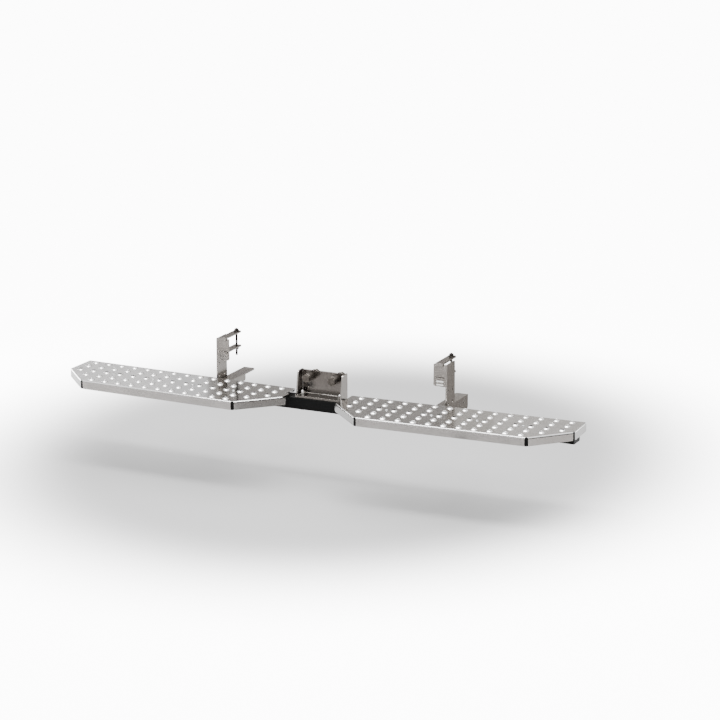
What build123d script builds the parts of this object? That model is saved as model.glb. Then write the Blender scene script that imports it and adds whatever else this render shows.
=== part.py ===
from build123d import *
from math import atan2, cos, degrees, hypot, radians, sin, sqrt
import os

os.makedirs("parts", exist_ok=True)

# Rear step for a tow bar: two perforated treads left and right of the tow ball.
# X runs to the right, Y towards the vehicle, Z up. The origin is the middle of the two-bolt
# pattern, on the face of the centre bracket that meets the tow bar. All sizes in millimetres.

# Perforation of the treads
hole_pitch_x = 50.0
hole_pitch_y = 46.8
hole_columns = 15
hole_rows = 5
hole_radius = 5.8
collar_radius = 9.8
collar_tip = 7.2
collar_height = 3.0
collar_sides = 8

# Treads, folded from sheet
sheet = 2.0
fold_radius = 4.0
edge_margin = 22.0
inner_margin = 40.0
outer_margin = 40.0
outer_cut = 114.0
inner_cut_x = 114.0
inner_cut_y = 122.0
ear_width = 10.0
ear_length = 43.0
relief_slot = 4.0
relief_depth = 14.0
rim_depth = 28.0
front_rim_depth = 13.0
rim_tail = 10.0
corner_gap = 4.2
rim_corner_radius = 6.0
inner_hole_x = 147.0
tread_setback = 213.0
tread_drop = 48.0
sweep = 2.0

# Black welded frame under each tread
rail_height = 13.5
rail_wall = 2.5
rail_width = 40.0
rib_width = 25.0
rib_pitch = 150.0
rib_count = 5
first_rib = 75.0
rim_bar = 4.0
rim_bar_depth = 24.0
frame_clearance = 0.3

# Beam that carries both frames
beam_length = 1726.0
beam_depth = 50.0
beam_height = 40.0
beam_wall = 3.0
beam_corner = 4.0
cap_plate = 3.0
cap_plug = 14.0
cap_clearance = 0.3

# Centre bracket
bracket_plate = 6.0
bracket_width = 160.0
bracket_top = 18.0
gusset_wall = 5.0
gusset_top = 20.0
gusset_foot_inset = 3.0
gusset_top_inset = 16.0
gusset_corner = 8.0

# Fasteners of the tow bar flange
flange_bolt_spacing = 90.0
flange_bolt_radius = 8.0
flange_hole_radius = 8.5
sleeve_radius = 13.5
sleeve_length = 32.0
tow_flange = 20.0
flange_nut_height = 13.0
flange_head_height = 10.0
flange_hex = 24.0
flange_washer_radius = 15.0
flange_washer = 3.0
thread_clearance = 0.2
bolt_tip = 6.0

# Cap nuts and screws that hold the bracket on the beam
cap_nut_clearance = 1.5
cap_nut_inset = 27.0
cap_nut_radius = 7.5
cap_nut_hex_height = 8.0

# Support arms, angle section
arm_outer_x = 403.0
arm_width = 41.0
arm_height = 46.0
arm_wall = 5.0
arm_drop = 1.5
arm_reach = 219.0
arm_corner = 8.0
arm_first_slot = 45.5
arm_slot_pitch = 36.0
arm_slot_group = 107.5
arm_slot_width = 9.0
arm_slot_height = 16.0
arm_slot_drop = 15.0
arm_bolt_pitch = 20.0

# Hangers, unequal angle section
hanger_wall = 5.0
hanger_rear_width = 46.0
hanger_side_width = 64.0
hanger_setback = 34.0
hanger_top = 75.0
hanger_rear_bottom = 3.8
hanger_side_bottom = -105.0
hanger_corner = 6.0
hanger_hole_radius = 4.5
hanger_hole_rows = 2
hanger_hole_pitch = 41.0
hanger_first_hole = -12.0
strap_slots = 3
strap_slot_pitch = 10.8
strap_slot_clearance = 0.5

# Clamps round the tow bar tube
tube_height = 42.5
tube_depth = 74.0
strap_width = 25.0
strap_thickness = 5.0
strap_hook = 5.0
strap_head = 4.0
strap_head_width = 30.0
strap_overhang = 28.0
strap_corner = 5.0
stud_radius = 4.0
stud_gap = 4.0
stud_tip = 2.5
stud_tail = 20.0
stud_washer_radius = 11.0
stud_washer = 1.6

# Small fasteners
m8_radius = 4.0
m8_hex = 13.0
m8_head = 5.5
m8_nut = 6.5
tread_screw_radius = 3.0
tread_head_radius = 5.0
tread_head_height = 2.8
tread_nut_hex = 10.0
tread_nut = 5.0
tread_screws = 4
first_screw = 125.0
screw_pitch = 150.0

# Levels and places that follow from the sizes above
tread_top = -tread_drop
frame_top = tread_top - sheet
beam_top = frame_top - rail_height
beam_bottom = beam_top - beam_height
beam_rear = -beam_depth
rear_edge = -edge_margin
front_edge = (hole_rows - 1) * hole_pitch_y + edge_margin
outer_end = (hole_columns - 1) * hole_pitch_x + outer_margin
inner_end = -inner_margin
middle_row = (hole_rows - 1) * hole_pitch_y / 2
turn_cos = cos(radians(sweep))
turn_sin = sin(radians(sweep))
tread_plane = Plane(
    origin=(inner_hole_x, -tread_setback, tread_top),
    x_dir=(turn_cos, turn_sin, 0),
    z_dir=(0, 0, 1),
)
frame_plane = tread_plane.offset(-sheet)

# Corners of the tread seen from above, counter-clockwise from the inner rear corner
ear_end = inner_end - ear_width
ear_corner_y = rear_edge + inner_cut_y
inner_rear = (ear_end + inner_cut_x, rear_edge)
outer_rear = (outer_end - outer_cut, rear_edge)
outer_side = (outer_end, rear_edge + outer_cut)
outer_front = (outer_end, front_edge)
inner_front = (inner_end, front_edge)
ear_front = (ear_end, ear_corner_y + ear_length)
ear_rear = (ear_end, ear_corner_y)
tread_outline = [
    inner_rear,
    outer_rear,
    outer_side,
    outer_front,
    inner_front,
    (inner_end, ear_front[1] + relief_slot),
    (ear_end + relief_depth, ear_front[1] + relief_slot),
    (ear_end + relief_depth, ear_front[1]),
    ear_front,
    ear_rear,
]
cut_slope = inner_cut_y / inner_cut_x
frame_outline = [
    inner_rear,
    outer_rear,
    outer_side,
    outer_front,
    inner_front,
    (inner_end, ear_corner_y - ear_width * cut_slope),
]


def inside_tread(x, y):
    """Tell whether a collar at x, y clears both cut corners of the tread."""
    inner_side = (x - ear_end) / inner_cut_x + (y - rear_edge) / inner_cut_y - 1
    inner_clearance = inner_side / hypot(1 / inner_cut_x, 1 / inner_cut_y)
    outer_clearance = (outer_end - x + y - rear_edge - outer_cut) / sqrt(2)
    return min(inner_clearance, outer_clearance) > collar_radius + fold_radius


hole_points = [
    (column * hole_pitch_x, row * hole_pitch_y)
    for row in range(hole_rows)
    for column in range(hole_columns)
    if inside_tread(column * hole_pitch_x, row * hole_pitch_y)
]
screw_points = [(first_screw + step * screw_pitch, middle_row) for step in range(tread_screws)]
rib_centres = [first_rib + step * rib_pitch for step in range(rib_count)]

# Each rim: the two corners that it runs between, its depth and its tail past the first corner
rims = [
    (inner_rear, outer_rear, rim_depth, 0),
    (outer_rear, outer_side, rim_depth, 0),
    (outer_side, outer_front, rim_depth, 0),
    (outer_front, inner_front, front_rim_depth, 0),
    (ear_rear, inner_rear, rim_depth, rim_tail),
]


def edge_plane(start, end):
    """Upright plane on one edge of the tread, its x along the edge and its z outwards."""
    first = tread_plane.from_local_coords(Vector(*start, 0))
    along = tread_plane.from_local_coords(Vector(*end, 0)) - first
    return Plane(origin=first, x_dir=along, z_dir=(along.Y, -along.X, 0))


with BuildPart() as right_tread:
    with BuildSketch(tread_plane):
        with BuildLine():
            Polyline(*tread_outline, close=True)
        make_face()
        for start, end, depth, tail in rims:
            edge = (end[0] - start[0], end[1] - start[1])
            with Locations(Location((*start, 0), (0, 0, degrees(atan2(edge[1], edge[0]))))):
                Rectangle(
                    hypot(*edge), fold_radius, align=(Align.MIN, Align.MIN), mode=Mode.SUBTRACT
                )
    extrude(amount=-sheet)
    for start, end, depth, tail in rims:
        wall_plane = edge_plane(start, end)
        wall_length = hypot(end[0] - start[0], end[1] - start[1])
        wall_start = -tail if tail else corner_gap
        with BuildSketch(wall_plane) as wall:
            with Locations((wall_start, -depth)):
                Rectangle(
                    wall_length - corner_gap - wall_start,
                    depth - fold_radius,
                    align=(Align.MIN, Align.MIN),
                )
            fillet(wall.vertices().group_by(Axis.Y)[0], rim_corner_radius)
        extrude(amount=-sheet)
        fold_start = 0 if tail else corner_gap
        fold_plane = Plane(
            origin=wall_plane.from_local_coords(Vector(fold_start, -fold_radius, -fold_radius)),
            x_dir=wall_plane.z_dir,
            z_dir=-wall_plane.x_dir,
        )
        inner_fold = fold_radius - sheet
        with BuildSketch(fold_plane):
            with BuildLine():
                Line((inner_fold, 0), (fold_radius, 0))
                CenterArc((0, 0), fold_radius, 0, 90)
                Line((0, fold_radius), (0, inner_fold))
                CenterArc((0, 0), inner_fold, 0, 90)
            make_face()
        extrude(amount=-(wall_length - corner_gap - fold_start))
    # Pressed collars, drawn with few sides because there are so many of them
    with BuildSketch(tread_plane):
        with Locations(*hole_points):
            RegularPolygon(collar_radius, collar_sides)
    extrude(
        amount=collar_height,
        taper=degrees(atan2(collar_radius - collar_tip, collar_height)),
    )
    with BuildSketch(tread_plane.offset(collar_height)):
        with Locations(*hole_points):
            RegularPolygon(hole_radius, collar_sides)
    extrude(amount=-collar_height - sheet, mode=Mode.SUBTRACT)
    with BuildSketch(tread_plane):
        with Locations(*screw_points):
            Circle(tread_screw_radius + thread_clearance)
    extrude(amount=-sheet, mode=Mode.SUBTRACT)
right_tread.part.label = "right_tread"
export_step(right_tread.part, "parts/right_tread.step")

with BuildPart() as left_tread:
    mirror(right_tread.part, about=Plane.YZ)
left_tread.part.label = "left_tread"
export_step(left_tread.part, "parts/left_tread.step")

# Frame under the right tread: a bar behind the rear rims, a middle rail and ribs across the beam
bar_inset = fold_radius + frame_clearance
with BuildPart() as right_tread_frame:
    with BuildSketch(frame_plane) as bars:
        with BuildLine():
            Polyline(*frame_outline, close=True)
        make_face()
        offset(amount=-bar_inset - rim_bar, kind=Kind.INTERSECTION, mode=Mode.REPLACE)
        with BuildSketch(mode=Mode.INTERSECT):
            with Locations((0, middle_row)):
                Rectangle(outer_end, rail_width, align=(Align.MIN, Align.CENTER))
            with Locations(*[(x, middle_row) for x in rib_centres]):
                Rectangle(rib_width, 2 * front_edge)
    extrude(amount=-rail_height)
    with BuildSketch(frame_plane.offset(-rail_wall)):
        with Locations((0, middle_row)):
            Rectangle(outer_end, rail_width - 2 * rail_wall, align=(Align.MIN, Align.CENTER))
        with Locations(*[(x, middle_row) for x in rib_centres]):
            Rectangle(rib_width - 2 * rail_wall, 2 * front_edge)
    extrude(amount=-rail_height, mode=Mode.SUBTRACT)
    # The rim bar stands right behind the rear rims and ends where the cut corners end
    with BuildSketch(frame_plane):
        with BuildLine():
            Polyline(*frame_outline, close=True)
        make_face()
        offset(amount=-bar_inset, kind=Kind.INTERSECTION, mode=Mode.REPLACE)
        with BuildSketch(mode=Mode.SUBTRACT):
            with BuildLine():
                Polyline(*frame_outline, close=True)
            make_face()
            offset(amount=-bar_inset - rim_bar, kind=Kind.INTERSECTION, mode=Mode.REPLACE)
        with BuildSketch(mode=Mode.INTERSECT):
            with Locations((0, rear_edge)):
                Rectangle(4 * outer_end, inner_cut_y, align=(Align.CENTER, Align.MIN))
    extrude(amount=-rim_bar_depth)
    with BuildSketch(frame_plane):
        with Locations(*screw_points):
            Circle(tread_screw_radius + thread_clearance)
    extrude(amount=-rail_wall, mode=Mode.SUBTRACT)
    bolt_ribs = [rib_centres[0], rib_centres[-2]]
    frame_bolts = []
    for rib in bolt_ribs:
        along = (tread_setback - beam_depth / 2 - rib * turn_sin) / turn_cos
        spot = tread_plane.from_local_coords(Vector(rib, along, 0))
        frame_bolts.append((spot.X, spot.Y))
    with BuildSketch(Plane.XY.offset(frame_top)):
        with Locations(*frame_bolts):
            Circle(m8_radius + thread_clearance)
    extrude(amount=-rail_wall, mode=Mode.SUBTRACT)
right_tread_frame.part.label = "right_tread_frame"
export_step(right_tread_frame.part, "parts/right_tread_frame.step")

with BuildPart() as left_tread_frame:
    mirror(right_tread_frame.part, about=Plane.YZ)
left_tread_frame.part.label = "left_tread_frame"
export_step(left_tread_frame.part, "parts/left_tread_frame.step")

# Cross beam: a rectangular tube, bored for the bolts of the frames, bracket and arms
beam_plane = Plane(origin=(0, beam_rear / 2, beam_bottom + beam_height / 2), z_dir=(1, 0, 0))
arm_top = beam_top - arm_drop
arm_bolt_x = arm_outer_x - arm_width / 2 - arm_wall / 2
arm_bolt_z = (arm_top - arm_wall + beam_bottom) / 2
arm_bolts = [
    (side * arm_bolt_x + step * arm_bolt_pitch / 2, arm_bolt_z) for side in (-1, 1) for step in (-1, 1)
]
cap_nut_x = bracket_width / 2 - gusset_wall - cap_nut_clearance - cap_nut_radius
cap_nuts = [(-cap_nut_x, -cap_nut_inset), (cap_nut_x, -cap_nut_inset)]
all_frame_bolts = frame_bolts + [(-x, y) for x, y in frame_bolts]
with BuildPart() as cross_beam:
    with BuildSketch(Plane.YZ.offset(-beam_length / 2)):
        with Locations((beam_rear / 2, beam_bottom + beam_height / 2)):
            RectangleRounded(beam_depth, beam_height, beam_corner)
            Rectangle(
                beam_depth - 2 * beam_wall, beam_height - 2 * beam_wall, mode=Mode.SUBTRACT
            )
    extrude(amount=beam_length)
    with BuildSketch(Plane.XY.offset(beam_bottom)):
        with Locations(*cap_nuts, *all_frame_bolts):
            Circle(m8_radius + thread_clearance)
    extrude(amount=beam_height, mode=Mode.SUBTRACT)
    with BuildSketch(Plane.XZ.offset(beam_wall)):
        with Locations(*arm_bolts):
            Circle(m8_radius + thread_clearance)
    extrude(amount=-beam_wall, mode=Mode.SUBTRACT)
cross_beam.part.label = "cross_beam"
export_step(cross_beam.part, "parts/cross_beam.step")

# Plastic end cap with a plug that fits inside the beam
with BuildPart() as right_beam_cap:
    with BuildSketch(Plane.YZ.offset(beam_length / 2)):
        with Locations((beam_rear / 2, beam_bottom + beam_height / 2)):
            RectangleRounded(beam_depth, beam_height, beam_corner)
    extrude(amount=cap_plate)
    chamfer(right_beam_cap.faces().sort_by(Axis.X)[-1].edges(), cap_plate / 3)
    with BuildSketch(Plane.YZ.offset(beam_length / 2)):
        with Locations((beam_rear / 2, beam_bottom + beam_height / 2)):
            Rectangle(
                beam_depth - 2 * (beam_wall + cap_clearance),
                beam_height - 2 * (beam_wall + cap_clearance),
            )
    extrude(amount=-cap_plug)
right_beam_cap.part.label = "right_beam_cap"
export_step(right_beam_cap.part, "parts/right_beam_cap.step")

with BuildPart() as left_beam_cap:
    mirror(right_beam_cap.part, about=Plane.YZ)
left_beam_cap.part.label = "left_beam_cap"
export_step(left_beam_cap.part, "parts/left_beam_cap.step")

# Centre bracket: a foot on the beam, a back plate for the tow bar and two sloping gussets
flange_bolts = [(-flange_bolt_spacing / 2, 0), (flange_bolt_spacing / 2, 0)]
with BuildPart() as centre_bracket:
    with BuildSketch(Plane.XY.offset(beam_top)):
        Rectangle(bracket_width, beam_depth, align=(Align.CENTER, Align.MAX))
    extrude(amount=bracket_plate)
    with BuildSketch(Plane.XZ.offset(bracket_plate)):
        with Locations((0, beam_top)):
            Rectangle(
                bracket_width, bracket_top - beam_top, align=(Align.CENTER, Align.MIN)
            )
    extrude(amount=-bracket_plate)
    for side in (-1, 1):
        with BuildSketch(Plane.YZ.offset(side * bracket_width / 2)) as gusset:
            with BuildLine():
                Polyline(
                    (0, beam_top),
                    (beam_rear + gusset_foot_inset, beam_top),
                    (beam_rear + gusset_foot_inset, beam_top + bracket_plate),
                    (beam_rear + gusset_top_inset, gusset_top),
                    (0, gusset_top),
                    close=True,
                )
            make_face()
            top_rear = gusset.vertices().group_by(Axis.Y)[-1].sort_by(Axis.X)[0]
            fillet(top_rear, gusset_corner)
        extrude(amount=-side * gusset_wall)
    with BuildSketch(Plane.XZ):
        with Locations(*flange_bolts):
            Circle(flange_hole_radius)
    extrude(amount=bracket_plate, mode=Mode.SUBTRACT)
    with BuildSketch(Plane.XY.offset(beam_top)):
        with Locations(*cap_nuts):
            Circle(m8_radius + thread_clearance)
    extrude(amount=bracket_plate, mode=Mode.SUBTRACT)
centre_bracket.part.label = "centre_bracket"
export_step(centre_bracket.part, "parts/centre_bracket.step")

# Sleeves between the bolt heads and the back plate
with BuildPart() as flange_sleeves:
    with BuildSketch(Plane.XZ.offset(bracket_plate)):
        with Locations(*flange_bolts):
            Circle(sleeve_radius)
            Circle(flange_hole_radius, mode=Mode.SUBTRACT)
    extrude(amount=sleeve_length)
flange_sleeves.part.label = "flange_sleeves"
export_step(flange_sleeves.part, "parts/flange_sleeves.step")

# Flange bolts: hexagon head, shank through sleeve, plate and the flange of the tow bar
sleeve_front = bracket_plate + sleeve_length
nut_face = tow_flange + flange_washer
shank_end = nut_face + flange_nut_height + bolt_tip
with BuildPart() as flange_bolt_set:
    with BuildSketch(Plane.XZ.offset(sleeve_front)):
        with Locations(*flange_bolts):
            RegularPolygon(flange_hex / 2, 6, major_radius=False)
    extrude(amount=flange_head_height)
    with BuildSketch(Plane.XZ.offset(sleeve_front)):
        with Locations(*flange_bolts):
            Circle(flange_bolt_radius)
    extrude(amount=-sleeve_front - shank_end)
flange_bolt_set.part.label = "flange_bolts"
export_step(flange_bolt_set.part, "parts/flange_bolts.step")

with BuildPart() as flange_washers:
    with BuildSketch(Plane.XZ.offset(-tow_flange)):
        with Locations(*flange_bolts):
            Circle(flange_washer_radius)
            Circle(flange_bolt_radius + thread_clearance, mode=Mode.SUBTRACT)
    extrude(amount=-flange_washer)
flange_washers.part.label = "flange_washers"
export_step(flange_washers.part, "parts/flange_washers.step")

with BuildPart() as flange_nuts:
    with BuildSketch(Plane.XZ.offset(-nut_face)):
        with Locations(*flange_bolts):
            RegularPolygon(flange_hex / 2, 6, major_radius=False)
            Circle(flange_bolt_radius + thread_clearance, mode=Mode.SUBTRACT)
    extrude(amount=-flange_nut_height)
flange_nuts.part.label = "flange_nuts"
export_step(flange_nuts.part, "parts/flange_nuts.step")

# Cap nuts on the foot of the bracket, with screws that come up through the beam
foot_top = beam_top + bracket_plate
with BuildPart() as cap_nut_set:
    for x, y in cap_nuts:
        with BuildSketch(Plane.XY.offset(foot_top)):
            with Locations((x, y)):
                RegularPolygon(m8_hex / 2, 6, major_radius=False)
        extrude(amount=cap_nut_hex_height)
        with Locations((x, y, foot_top + cap_nut_hex_height)):
            Sphere(m8_hex / 2, arc_size1=0)
        with BuildSketch(Plane.XY.offset(foot_top)):
            with Locations((x, y)):
                Circle(m8_radius + thread_clearance)
        extrude(amount=cap_nut_hex_height, mode=Mode.SUBTRACT)
cap_nut_set.part.label = "bracket_cap_nuts"
export_step(cap_nut_set.part, "parts/bracket_cap_nuts.step")

with BuildPart() as bracket_screws:
    with BuildSketch(Plane.XY.offset(beam_bottom)):
        with Locations(*cap_nuts):
            RegularPolygon(m8_hex / 2, 6, major_radius=False)
    extrude(amount=-m8_head)
    with BuildSketch(Plane.XY.offset(beam_bottom)):
        with Locations(*cap_nuts):
            Circle(m8_radius)
    extrude(amount=foot_top + cap_nut_hex_height - thread_clearance - beam_bottom)
bracket_screws.part.label = "bracket_screws"
export_step(bracket_screws.part, "parts/bracket_screws.step")

# Bolts that hold the tread frames on the beam
with BuildPart() as frame_bolt_set:
    with BuildSketch(Plane.XY.offset(beam_bottom)):
        with Locations(*all_frame_bolts):
            RegularPolygon(m8_hex / 2, 6, major_radius=False)
    extrude(amount=-m8_head)
    with BuildSketch(Plane.XY.offset(beam_bottom)):
        with Locations(*all_frame_bolts):
            Circle(m8_radius)
    extrude(amount=frame_top - beam_bottom)
frame_bolt_set.part.label = "frame_bolts"
export_step(frame_bolt_set.part, "parts/frame_bolts.step")

with BuildPart() as frame_nuts:
    with BuildSketch(Plane.XY.offset(frame_top - rail_wall)):
        with Locations(*all_frame_bolts):
            RegularPolygon(m8_hex / 2, 6, major_radius=False)
            Circle(m8_radius + thread_clearance, mode=Mode.SUBTRACT)
    extrude(amount=-m8_nut)
frame_nuts.part.label = "frame_nuts"
export_step(frame_nuts.part, "parts/frame_nuts.step")

# Button-head screws that hold the treads on their frames, with nuts inside the rails
all_screws = []
for x, y in screw_points:
    spot = tread_plane.from_local_coords(Vector(x, y, 0))
    all_screws += [(spot.X, spot.Y), (-spot.X, spot.Y)]
with BuildPart() as tread_screw_set:
    with BuildSketch(Plane.XY.offset(tread_top)):
        with Locations(*all_screws):
            Circle(tread_head_radius)
    extrude(amount=tread_head_height, taper=30)
    with BuildSketch(Plane.XY.offset(tread_top)):
        with Locations(*all_screws):
            Circle(tread_screw_radius)
    extrude(amount=-sheet - rail_wall - tread_nut)
tread_screw_set.part.label = "tread_screws"
export_step(tread_screw_set.part, "parts/tread_screws.step")

with BuildPart() as tread_nut_set:
    with BuildSketch(Plane.XY.offset(frame_top - rail_wall)):
        with Locations(*all_screws):
            RegularPolygon(tread_nut_hex / 2, 6, major_radius=False)
            Circle(tread_screw_radius + thread_clearance, mode=Mode.SUBTRACT)
    extrude(amount=-tread_nut)
tread_nut_set.part.label = "tread_nuts"
export_step(tread_nut_set.part, "parts/tread_nuts.step")

# Support arm: an angle bolted to the front of the beam by its end tab
web_plane = Plane.YZ.offset(arm_outer_x)
slot_z = arm_top - arm_slot_drop
slot_starts = [
    arm_first_slot,
    arm_first_slot + arm_slot_pitch,
    arm_first_slot + arm_slot_group,
    arm_first_slot + arm_slot_group + arm_slot_pitch,
]
with BuildPart() as right_arm:
    with BuildSketch(Plane.XY.offset(arm_top)) as arm_flange:
        with Locations((arm_outer_x, 0)):
            Rectangle(arm_width, arm_reach, align=(Align.MAX, Align.MIN))
        far_inner = arm_flange.vertices().group_by(Axis.Y)[-1].sort_by(Axis.X)[0]
        fillet(far_inner, arm_corner)
    extrude(amount=-arm_wall)
    with BuildSketch(web_plane) as arm_web:
        with Locations((0, arm_top)):
            Rectangle(arm_reach, arm_height, align=(Align.MIN, Align.MAX))
        far_lower = arm_web.vertices().group_by(Axis.Y)[0].sort_by(Axis.X)[-1]
        fillet(far_lower, arm_corner)
    extrude(amount=-arm_wall)
    with BuildSketch(Plane.XZ):
        with Locations((arm_outer_x, arm_top)):
            Rectangle(arm_width, arm_top - beam_bottom, align=(Align.MAX, Align.MAX))
    extrude(amount=-arm_wall)
    with BuildSketch(web_plane):
        with Locations(*[(y, slot_z) for y in slot_starts]):
            SlotOverall(arm_slot_height, arm_slot_width, rotation=90)
    extrude(amount=-arm_wall, mode=Mode.SUBTRACT)
    with BuildSketch(Plane.XZ):
        with Locations(*[spot for spot in arm_bolts if spot[0] > 0]):
            Circle(m8_radius + thread_clearance)
    extrude(amount=-arm_wall, mode=Mode.SUBTRACT)
right_arm.part.label = "right_arm"
export_step(right_arm.part, "parts/right_arm.step")

with BuildPart() as left_arm:
    mirror(right_arm.part, about=Plane.YZ)
left_arm.part.label = "left_arm"
export_step(left_arm.part, "parts/left_arm.step")

with BuildPart() as arm_bolt_set:
    with BuildSketch(Plane.XZ.offset(-arm_wall)):
        with Locations(*arm_bolts):
            RegularPolygon(m8_hex / 2, 6, major_radius=False)
    extrude(amount=-m8_head)
    with BuildSketch(Plane.XZ.offset(-arm_wall)):
        with Locations(*arm_bolts):
            Circle(m8_radius)
    extrude(amount=arm_wall + beam_wall + m8_nut)
arm_bolt_set.part.label = "arm_bolts"
export_step(arm_bolt_set.part, "parts/arm_bolts.step")

with BuildPart() as arm_nuts:
    with BuildSketch(Plane.XZ.offset(beam_wall)):
        with Locations(*arm_bolts):
            RegularPolygon(m8_hex / 2, 6, major_radius=False)
            Circle(m8_radius + thread_clearance, mode=Mode.SUBTRACT)
    extrude(amount=m8_nut)
arm_nuts.part.label = "arm_nuts"
export_step(arm_nuts.part, "parts/arm_nuts.step")

# Hanger: an unequal angle bolted to the arm, with slots in its rear leg for the straps
hanger_outer_x = arm_outer_x + hanger_wall
rear_leg_x = hanger_outer_x - hanger_rear_width
strap_x = (rear_leg_x + arm_outer_x) / 2
tube_rear = hanger_setback + hanger_wall
tube_top = hanger_top
tube_bottom = tube_top - tube_height
strap_level = tube_bottom - strap_thickness
strap_slot_width = strap_width + 2 * strap_slot_clearance
strap_slot_height = strap_thickness + 2 * strap_slot_clearance
slot_levels = [
    strap_level + strap_thickness / 2 - step * strap_slot_pitch for step in range(strap_slots)
]
hanger_side_front = hanger_setback + hanger_side_width
hanger_holes = [
    (y, hanger_first_hole - row * hanger_hole_pitch)
    for row in range(hanger_hole_rows)
    for y in (arm_first_slot, arm_first_slot + arm_slot_pitch)
]
hanger_bolt_points = [(y, slot_z) for y in (arm_first_slot, arm_first_slot + arm_slot_pitch)]
with BuildPart() as right_hanger:
    with BuildSketch(Plane.YZ.offset(hanger_outer_x)) as side_leg:
        with Locations((hanger_setback, hanger_top)):
            Rectangle(
                hanger_side_width,
                hanger_top - hanger_side_bottom,
                align=(Align.MIN, Align.MAX),
            )
        fillet(side_leg.vertices().group_by(Axis.Y)[0], hanger_corner)
    extrude(amount=-hanger_wall)
    with BuildSketch(Plane.XZ.offset(-hanger_setback)) as rear_leg:
        with Locations((hanger_outer_x, hanger_top)):
            Rectangle(
                hanger_rear_width, hanger_top - hanger_rear_bottom, align=(Align.MAX, Align.MAX)
            )
        lower_inner = rear_leg.vertices().group_by(Axis.Y)[0].sort_by(Axis.X)[0]
        fillet(lower_inner, hanger_corner)
    extrude(amount=-hanger_wall)
    with BuildSketch(Plane.YZ.offset(hanger_outer_x)):
        with Locations(*hanger_holes):
            Circle(hanger_hole_radius)
        with Locations(*hanger_bolt_points):
            Circle(hanger_hole_radius)
    extrude(amount=-hanger_wall, mode=Mode.SUBTRACT)
    with BuildSketch(Plane.XZ.offset(-hanger_setback)):
        with Locations(*[(strap_x, level) for level in slot_levels]):
            Rectangle(strap_slot_width, strap_slot_height)
    extrude(amount=-hanger_wall, mode=Mode.SUBTRACT)
right_hanger.part.label = "right_hanger"
export_step(right_hanger.part, "parts/right_hanger.step")

with BuildPart() as left_hanger:
    mirror(right_hanger.part, about=Plane.YZ)
left_hanger.part.label = "left_hanger"
export_step(left_hanger.part, "parts/left_hanger.step")

# Bolts that hold the hangers on the arms, heads outside, nuts on the inner side
arm_inner_x = arm_outer_x - arm_wall
with BuildPart() as hanger_bolt_set:
    for side in (-1, 1):
        with BuildSketch(Plane.YZ.offset(side * hanger_outer_x)):
            with Locations(*hanger_bolt_points):
                RegularPolygon(m8_hex / 2, 6, major_radius=False)
        extrude(amount=side * m8_head)
        with BuildSketch(Plane.YZ.offset(side * hanger_outer_x)):
            with Locations(*hanger_bolt_points):
                Circle(m8_radius)
        extrude(amount=-side * (hanger_wall + arm_wall + m8_nut + stud_gap))
hanger_bolt_set.part.label = "hanger_bolts"
export_step(hanger_bolt_set.part, "parts/hanger_bolts.step")

with BuildPart() as hanger_nuts:
    for side in (-1, 1):
        with BuildSketch(Plane.YZ.offset(side * arm_inner_x)):
            with Locations(*hanger_bolt_points):
                RegularPolygon(m8_hex / 2, 6, major_radius=False)
                Circle(m8_radius + thread_clearance, mode=Mode.SUBTRACT)
        extrude(amount=-side * m8_nut)
hanger_nuts.part.label = "hanger_nuts"
export_step(hanger_nuts.part, "parts/hanger_nuts.step")

# Clamps: a strap over and a strap under the tube of the tow bar, drawn together by a stud
strap_rear = hanger_setback - strap_thickness
strap_front = tube_rear + tube_depth + strap_overhang
stud_y = tube_rear + tube_depth + stud_gap + stud_washer_radius
with BuildPart() as right_top_strap:
    with BuildSketch(Plane.XY.offset(tube_top)) as strap_flat:
        with Locations((strap_x, strap_rear)):
            Rectangle(strap_width, strap_front - strap_rear, align=(Align.CENTER, Align.MIN))
        fillet(strap_flat.vertices().group_by(Axis.Y)[-1], strap_corner)
    extrude(amount=strap_thickness)
    with BuildSketch(Plane.XY.offset(tube_top)):
        with Locations((strap_x, strap_rear)):
            Rectangle(strap_width, strap_thickness, align=(Align.CENTER, Align.MIN))
    extrude(amount=-strap_hook)
    with BuildSketch(Plane.XY.offset(tube_top)):
        with Locations((strap_x, stud_y)):
            Circle(stud_radius + 2 * thread_clearance)
    extrude(amount=strap_thickness, mode=Mode.SUBTRACT)
right_top_strap.part.label = "right_top_strap"
export_step(right_top_strap.part, "parts/right_top_strap.step")

# The lower strap is held by a wider head behind the leg of the hanger
with BuildPart() as right_bottom_strap:
    with BuildSketch(Plane.XY.offset(strap_level)) as strap_flat:
        with Locations((strap_x, hanger_setback)):
            Rectangle(strap_width, strap_front - hanger_setback, align=(Align.CENTER, Align.MIN))
        fillet(strap_flat.vertices().group_by(Axis.Y)[-1], strap_corner)
        with Locations((strap_x, hanger_setback)):
            Rectangle(strap_head_width, strap_head, align=(Align.CENTER, Align.MAX))
        with Locations((strap_x, stud_y)):
            Circle(stud_radius + 2 * thread_clearance, mode=Mode.SUBTRACT)
    extrude(amount=strap_thickness)
right_bottom_strap.part.label = "right_bottom_strap"
export_step(right_bottom_strap.part, "parts/right_bottom_strap.step")

with BuildPart() as left_top_strap:
    mirror(right_top_strap.part, about=Plane.YZ)
left_top_strap.part.label = "left_top_strap"
export_step(left_top_strap.part, "parts/left_top_strap.step")

with BuildPart() as left_bottom_strap:
    mirror(right_bottom_strap.part, about=Plane.YZ)
left_bottom_strap.part.label = "left_bottom_strap"
export_step(left_bottom_strap.part, "parts/left_bottom_strap.step")

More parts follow.
